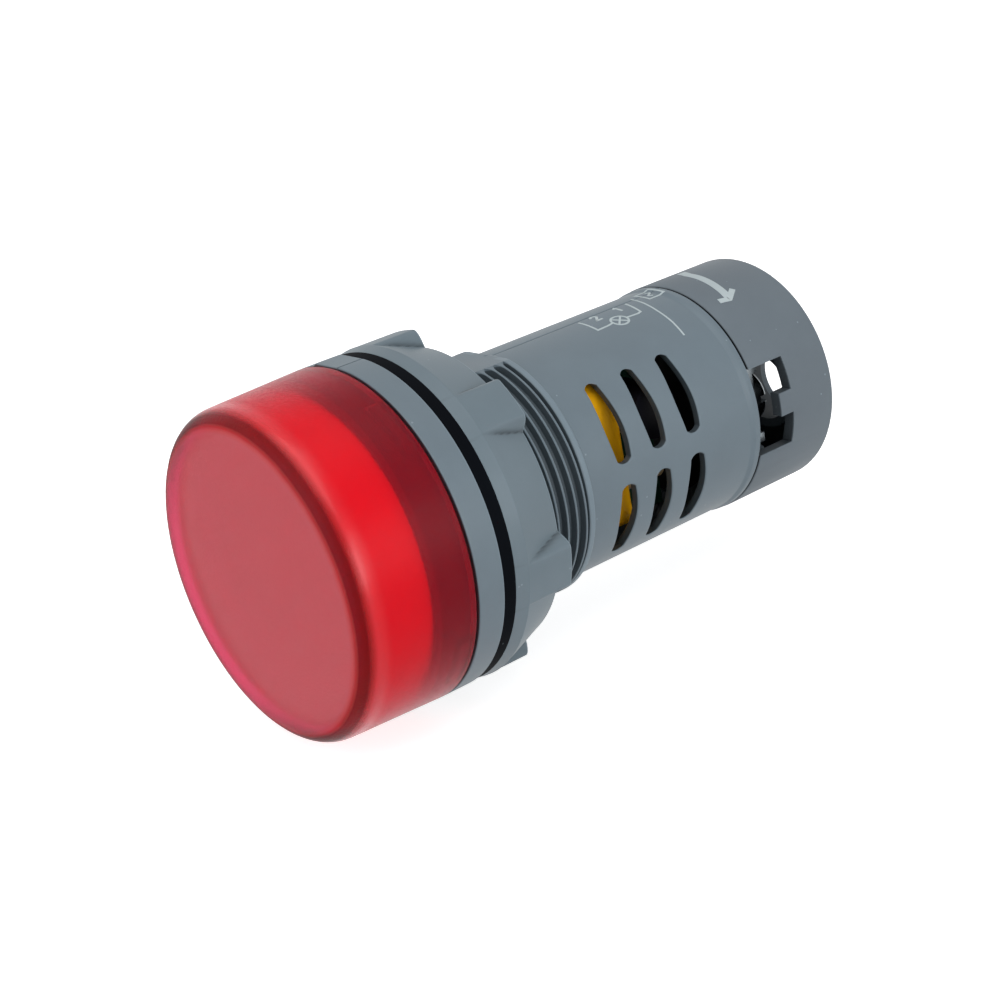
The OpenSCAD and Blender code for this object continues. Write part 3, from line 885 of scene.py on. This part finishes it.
def stroke(path, width, surface):
    """A line of paint round the body: path is (angle in degrees, y in millimetres), walked in even steps.

    At each step stand four corners, half the width to either side of the path's direction and a fiftieth of a
    millimetre above and below the surface. At a bend the sides move out by 1 / cos(half the bend).
    """
    path = np.asarray(path, float)
    radius = surface(path[0, 1] * MM)
    flat = np.stack([np.radians(path[:, 0]) * radius, path[:, 1] * MM], axis=1)
    length = np.linalg.norm(np.diff(flat, axis=0), axis=1)
    walk = np.concatenate([[0], np.cumsum(length)])
    stops = np.unique(np.concatenate([walk, np.linspace(0, walk[-1], int(walk[-1] / (0.3 * MM)) + 2)]))
    stops = stops[np.concatenate([[True], np.diff(stops) > 1e-6])]
    line = np.stack([np.interp(stops, walk, flat[:, k]) for k in (0, 1)], axis=1)
    step = np.diff(line, axis=0)
    step /= np.linalg.norm(step, axis=1, keepdims=True)
    closed = np.linalg.norm(line[0] - line[-1]) < 1e-6
    before = np.concatenate([step[-1:] if closed else step[:1], step])
    after = np.concatenate([step, step[:1] if closed else step[-1:]])
    along = before + after
    along /= np.linalg.norm(along, axis=1, keepdims=True)
    stretch = width / 2 / np.maximum(np.sum(along * after, axis=1), 0.5)
    side = np.stack([-along[:, 1], along[:, 0]], axis=1) * np.reshape(stretch, (-1, 1))
    rings = []
    for sign, lift in ((1, 0.02 * MM), (-1, 0.02 * MM), (-1, -0.02 * MM), (1, -0.02 * MM)):
        place = line + sign * side
        rings.append(polar(surface(place[:, 1]) + lift, place[:, 0] / radius, place[:, 1]))
    points = np.stack(rings, axis=1)
    count = len(points)
    quads = grid_faces(count, 4, wrap_columns=True).reshape(-1, 4)
    if not closed:
        ends = np.array([[3, 2, 1, 0], [4 * count - 4, 4 * count - 3, 4 * count - 2, 4 * count - 1]])
        quads = np.concatenate([quads, ends])
    return points.reshape(-1, 3), quads


def ring_path(angle, y, radius, size):
    """A circle of that size round a place: size * (cos t, sin t)."""
    t = np.linspace(0, 2 * np.pi, 25)
    return np.stack([angle + np.degrees(size * MM * np.cos(t) / radius), y + size * np.sin(t)], axis=1)


def digit(which, angle, y, height, radius):
    """The plain figure 1 or 2: strokes (u, v) in a box 0.55 wide by 1 high, turned a quarter on the body."""
    if which == 1:
        lines = [[(0.12, 0.75), (0.35, 1.0), (0.35, 0.0)]]
    else:
        t = np.linspace(np.pi, -0.35, 10)
        bow = np.stack([0.28 + 0.26 * np.cos(t), 0.73 + 0.26 * np.sin(t)], axis=1)
        lines = [np.concatenate([bow, [(0.02, 0.0), (0.58, 0.0)]])]
    per_degree = np.degrees(height * MM / radius)
    return [[(angle + (v - 0.5) * -per_degree, y + (u - 0.3) * height) for u, v in line] for line in lines]


def make_print(name, strokes, surface, material, slot):
    """All strokes of one colour on one surface as a single piece."""
    points, quads = joined([stroke(path, width * MM, surface) for path, width in strokes])
    piece(name, points, quads, material, slot, sharp=30)


# ---- Ring nut ----

LOBE_R = 14.6 * MM
LOBE_PLACES = (-12.4, 45.2, 103.9, 163.0, 224.0, 285.6)
LOBE_HALF = 6.7
LOBE_SIDE = 4.3
LOBE_DEPTH = 1.7 * MM
NUT_BORE = 11.05 * MM
NUT_NECK = 13.05 * MM
NUT_THREAD = 0.35 * MM
NUT_ROUND = 0.2 * MM


def lobe_away(angle):
    """Degrees from an angle to the middle of the nearest lobe."""
    return np.min([np.abs((np.degrees(angle) - place + 180) % 360 - 180) for place in LOBE_PLACES], axis=0)


def lobe_radius(angle):
    """The radius of the lobes: their top radius, less a quarter wave from the shoulder to the foot."""
    fall = np.clip((lobe_away(angle) - LOBE_HALF) / LOBE_SIDE, 0, 1.25)
    return LOBE_R - LOBE_DEPTH * (1 - np.cos(np.pi / 2 * fall))


def nut_body(y):
    """The nut's radius between its lobes: flared to the rim, then a cone."""
    return np.interp(y, [NUT_FRONT, RIM_Y, NUT_REAR], [RIM_R - 0.22 * MM, RIM_R, NUT_NECK])


def add_crease_shade(made):
    """The attribute crease, for painted shade at the foot of each lobe's walls: exp(-(gap / width)^2).

    gap is the lobe's radius less the body's, and width is 0.30 mm on the lobe and 0.16 mm on the body.
    """
    co = np.empty(len(made.data.vertices) * 3)
    made.data.vertices.foreach_get("co", co)
    co = co.reshape(-1, 3)
    angle, y = np.arctan2(co[:, 0], co[:, 2]), co[:, 1]
    gap = lobe_radius(angle) - nut_body(y)
    wall = np.clip((lobe_away(angle) - 7.4) / 1.2, 0, 1) * (np.hypot(co[:, 0], co[:, 2]) > 12.4 * MM)
    deep = np.clip((y - RIM_Y) / (2 * MM), 0.3, 1)
    value = np.exp(-(gap / np.where(gap > 0, 0.30 * MM, 0.16 * MM)) ** 2) * wall * deep
    crease = made.data.attributes.new("crease", "FLOAT", "POINT")
    crease.data.foreach_set("value", value.astype(np.float32))


def make_nut(material):
    """A cone behind a flared rim, with six lobes: the larger of both radii, eased over a small fillet."""
    soft = 0.08 * MM
    y = np.linspace(NUT_FRONT + soft, NUT_REAR - NUT_ROUND, 46)
    y = np.unique(np.concatenate([y, RIM_Y + np.array([-0.1, 0, 0.1]) * MM]))
    body = nut_body(y)
    angle = np.linspace(0, 2 * np.pi, 720, endpoint=False)
    reach = np.clip((y[:, None] - RIM_Y + 0.4 * MM) / (0.4 * MM), 0, 1)
    lobe = BARREL_R + (lobe_radius(angle[None, :]) - BARREL_R) * reach
    ease = 0.05 * MM
    gap = lobe - body[:, None]
    eased = np.where(gap < -ease, 0, (gap + ease) ** 2 / (4 * ease))
    outer = body[:, None] + np.where(gap > ease, gap, eased)
    rows_r, rows_y = [], []

    def row(radius, place):
        rows_r.append(np.broadcast_to(radius, angle.shape))
        rows_y.append(np.full(len(angle), place))

    inside = NUT_BORE + 0.15 * MM
    row(inside, NUT_FRONT)
    row(outer[0] - 0.3 * MM, NUT_FRONT)
    row(outer[0] - soft, NUT_FRONT)
    for t in np.linspace(0, np.pi / 2, 4)[1:-1]:
        row(outer[0] - soft * (1 - np.sin(t)), NUT_FRONT + soft * (1 - np.cos(t)))
    for radius, place in zip(outer, y):
        row(radius, place)
    last = outer[-1]
    for t in np.linspace(0, np.pi / 2, 6)[1:]:
        row(last - NUT_ROUND * (1 - np.cos(t)), NUT_REAR - NUT_ROUND * (1 - np.sin(t)))
    for t in (0.1, 0.5, 0.92, 1.0):
        row((last - NUT_ROUND) * (1 - t) + inside * t, NUT_REAR)
    for place in np.linspace(NUT_REAR - 0.15 * MM, NUT_FRONT + 0.15 * MM, 44):
        phase = (place / THREAD_PITCH - angle / (2 * np.pi) - THREAD_PHASE) % 1
        row(NUT_BORE + NUT_THREAD * np.clip((0.8 - np.abs(2 * phase - 1)) / 0.46, 0, 1), place)
    radius, place = np.array(rows_r), np.array(rows_y)
    points = polar(radius, angle[None, :], place)
    quads = grid_faces(len(radius), len(angle), wrap_columns=True, wrap_rows=True)
    add_crease_shade(piece("ring_nut", points, quads, material, "nut_grey", body=NUT, replaced=("mounting_nut",)))


# ---- Rear cap: the frame's own shape with its edges broken ----

def soften(node, name, material, width, body=BODY):
    """A merged copy of the cap, its flat faces joined, with a small rounding of that width along its edges.

    Its front edge is moved back by SEAM_SHIFT * (1 - u)^2, where u runs from 0 at the seam to 1 at the rear.
    """
    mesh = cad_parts[node].data.copy()
    mesh.name = name
    work = bmesh.new()
    work.from_mesh(mesh)
    bmesh.ops.remove_doubles(work, verts=work.verts, dist=2e-6)
    bmesh.ops.dissolve_limit(work, angle_limit=math.radians(0.5), verts=work.verts, edges=work.edges)
    work.to_mesh(mesh)
    work.free()
    co = np.empty(len(mesh.vertices) * 3)
    mesh.vertices.foreach_get("co", co)
    co[1::3] += SEAM_SHIFT * np.clip((REAR - co[1::3]) / (REAR - SEAM), 0, 1) ** 2
    mesh.vertices.foreach_set("co", co)
    mesh.materials.clear()
    mesh.materials.append(material)
    mesh.polygons.foreach_set("use_smooth", np.ones(len(mesh.polygons), bool))
    mesh.set_sharp_from_angle(angle=math.radians(35))
    made = into_scene(name, mesh)
    bevel = made.modifiers.new("edges", "BEVEL")
    bevel.width = width
    bevel.segments = 2
    bevel.limit_method = "ANGLE"
    bevel.angle_limit = math.radians(35)
    bevel.harden_normals = True
    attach(made, body)
    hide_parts(node)


# ---- Build ----

make_camera()
make_world(ROOM_LEVEL)
bpy.context.scene.view_settings.view_transform = "Standard"
make_floor()
softbox("lamp_above", place=(0.10, -0.05, 0.45), target=(0, 0.01, 0), size=0.5, power=1.15)
softbox("lamp_left", place=(-0.05, -0.45, 0.15), target=(0, 0.01, 0), size=0.4, power=0.62)
softbox("lamp_right", place=(0.36, 0.10, 0.05), target=(0, 0.02, 0), size=0.25, power=0.36)
softbox("lamp_low", place=(0.18, -0.02, -0.002), target=(0, 0.025, -0.01), size=0.12, power=0.10)

GRAIN = make_grain_group()
AXIS = make_axis_group()
DUST = make_dust_group()
ZONE = make_zone_group()
DUST_GREY = (0.22, 0.27, 0.30)
housing_light_and_shade = [
    # painted shade in the hollow inside, on the bezel's front face and collar behind the lens, and in the
    # grooves of the thread; painted highlights on the bezel's rear edge and on the land behind the thread
    (0.3, 0, 10.32 * MM, -8 * MM, 40 * MM),
    (0.25, 0, 15 * MM, -8 * MM, BEZEL_FRONT + 0.03 * MM),
    (0.42, 0, 10.93 * MM, 0.3 * MM, 11.02 * MM, 10.4 * MM),
    (1.4, 14.3 * MM, 15 * MM, BEZEL_REAR - 0.1 * MM, 0),
    (1.25, 10.7 * MM, 11.2 * MM, 11.1 * MM, 11.9 * MM),
]
nut_edge_highlights = [
    # painted highlights on the front edge of the rim and on the rear edge
    (1.2, 14.2 * MM, 15 * MM, 0, NUT_FRONT + 0.06 * MM),
    (1.3, 13 * MM, 15 * MM, NUT_REAR - 0.16 * MM, NUT_REAR - 0.03 * MM),
]
cap_painted_shade = [
    # painted shade in the hollow inside, and on the front edge at the seam
    (0.35, 0, 10.5 * MM, 0, REAR - 0.6 * MM),
    (0.3, 0, 12 * MM, 0, SEAM_LINE + 0.03 * MM),
]
grey = moulded("housing_plastic", (0.134, 0.174, 0.204), (0.146, 0.190, 0.222), 0.42,
               shine=0.3, dust=DUST_GREY, zones=housing_light_and_shade)
nut_grey = moulded("nut_plastic", (0.130, 0.172, 0.200), (0.144, 0.188, 0.218), 0.42,
                   shine=0.3, dust=DUST_GREY, zones=nut_edge_highlights, creases=True)
cap_grey = moulded("cap_plastic", (0.122, 0.150, 0.174), (0.134, 0.165, 0.190), 0.5,
                   shine=0.3, dust=DUST_GREY, zones=cap_painted_shade)
rubber = moulded("gasket_rubber", (0.001, 0.0016, 0.003), (0.002, 0.003, 0.005), 0.7,
                 shine=0.04, dust=(0.05, 0.06, 0.065))
lens_red = red_lens()
diffuser_pink = moulded("diffuser_milk", (0.846, 0.799, 0.7896), (0.9, 0.85, 0.84), 0.5)
amber = moulded("film_lacquer", (0.92, 0.42, 0.005), (1.0, 0.50, 0.008), 0.35, shine=0.1)
board = moulded("board_mask", (0.008, 0.035, 0.022), (0.012, 0.05, 0.03), 0.4, shine=0.15)
black = moulded("black_moulding", (0.006, 0.006, 0.007), (0.011, 0.011, 0.012), 0.5, shine=0.1)
sleeve = moulded("capacitor_sleeve", (0.004, 0.004, 0.006), (0.008, 0.008, 0.012), 0.35, shine=0.12)
clear = moulded("led_epoxy", (0.8, 0.78, 0.72), (0.9, 0.88, 0.84), 0.15)
# tinned contacts, their tone kept very dark as painted shade for the cavity inside the cap
shaded_tin = metal("contact_tin_shaded", (0.06, 0.065, 0.07), (0.14, 0.15, 0.16), 0.3)
paint = moulded("printed_paint", (0.42, 0.49, 0.51), (0.50, 0.57, 0.59), 0.5, shine=0.3)
steel = metal("plated_steel", (0.20, 0.23, 0.25), (0.50, 0.55, 0.58), 0.22)
varistor = moulded("varistor_lacquer", (0.01, 0.04, 0.16), (0.02, 0.06, 0.24), 0.3)
resistor_green = banded("resistor_cement", (0.10, 0.22, 0.15), [
    (17.6 * MM, 0.4 * MM, (0.25, 0.10, 0.02)), (19.2 * MM, 0.4 * MM, (0.01, 0.01, 0.01)),
    (20.8 * MM, 0.4 * MM, (0.5, 0.3, 0.02))
])
resistor_tan = banded("resistor_lacquer", (0.52, 0.38, 0.20), [
    (22.2 * MM, 0.25 * MM, (0.02, 0.05, 0.3)), (23.2 * MM, 0.25 * MM, (0.3, 0.02, 0.02)),
    (24.4 * MM, 0.25 * MM, (0.45, 0.3, 0.05))
])
diode_glass = banded("diode_glass", (0.45, 0.13, 0.04), [(20.7 * MM, 0.3 * MM, (0.01, 0.01, 0.01))])

make_lens(lens_red)
make_gasket(rubber)
make_housing(grey)
make_thread(grey)
make_nut(nut_grey)
soften("rear_cap", "cap_shell", cap_grey, 0.08 * MM)

# print: strokes are (path, width), with angles in degrees and everything else in millimetres
LAMP_ANGLE, LAMP_Y = 14.8, 24.2
reach = 0.78 * math.sqrt(0.5)
spoke = np.degrees(reach * MM / BODY_R)
circuit = [
    (ring_path(LAMP_ANGLE, LAMP_Y, BODY_R, 0.8), 0.2),
    ([(LAMP_ANGLE - spoke, LAMP_Y - reach), (LAMP_ANGLE + spoke, LAMP_Y + reach)], 0.18),
    ([(LAMP_ANGLE - spoke, LAMP_Y + reach), (LAMP_ANGLE + spoke, LAMP_Y - reach)], 0.18),
    ([(LAMP_ANGLE, LAMP_Y - 0.8), (15.5, 22.7), (15.8, 21.5), (2.0, 21.5)], 0.2),
    ([(LAMP_ANGLE, LAMP_Y + 0.8), (15.3, 26.3), (14.6, 26.7), (1.4, 27.1)], 0.2),
    ([(-1.8, 28.3), (7.5, 28.15), (18.9, 27.95), (29.7, 27.9), (39.5, 27.75)], 0.17),
]
circuit += [(line, 0.24) for line in digit(1, 4.4, 25.7, 1.1, BODY_R)]
circuit += [(line, 0.24) for line in digit(2, 4.4, 23.1, 1.1, BODY_R)]
box = [(-4.6, 29.2), (6.6, 29.2), (6.6, 30.9), (-4.6, 30.9), (-4.6, 29.2)]
t = np.linspace(0, 2 * np.pi, 13)
wave = np.stack([1 + 3 * (t / np.pi - 1), 30.05 + 0.3 * np.sin(t)], axis=1)
circuit += [(box, 0.2), (wave, 0.2)]
make_print("circuit_print", circuit, body_surface, paint, "housing_grey")
shaft = [(-9, 35.8), (-1, 35.25), (8, 35.15), (17.5, 35.0), (24.6, 34.85), (29.5, 34.7)]
head = [(26.0, 35.9), (31.0, 34.62), (30.0, 33.5)]
make_print("arrow_print", [(shaft, 0.8), (head, 0.55)], cap_surface, paint, "cap_grey")

for name, material in {
    "diffuser": diffuser_pink, "led_board": board, "leds": clear, "link_pins": steel, "main_board": board,
    "film_capacitor": amber, "smoothing_capacitor": sleeve, "bridge_rectifier": black,
    "series_resistor": resistor_green, "bleed_resistor": resistor_tan, "zener_diode": diode_glass,
    "surge_varistor": varistor, "terminal_block": black, "contact_plate_1": shaded_tin, "contact_plate_2": shaded_tin,
    "clamp_plate_1": steel, "clamp_plate_2": steel, "terminal_screw_1": steel, "terminal_screw_2": steel,
}.items():
    dress(name, material)
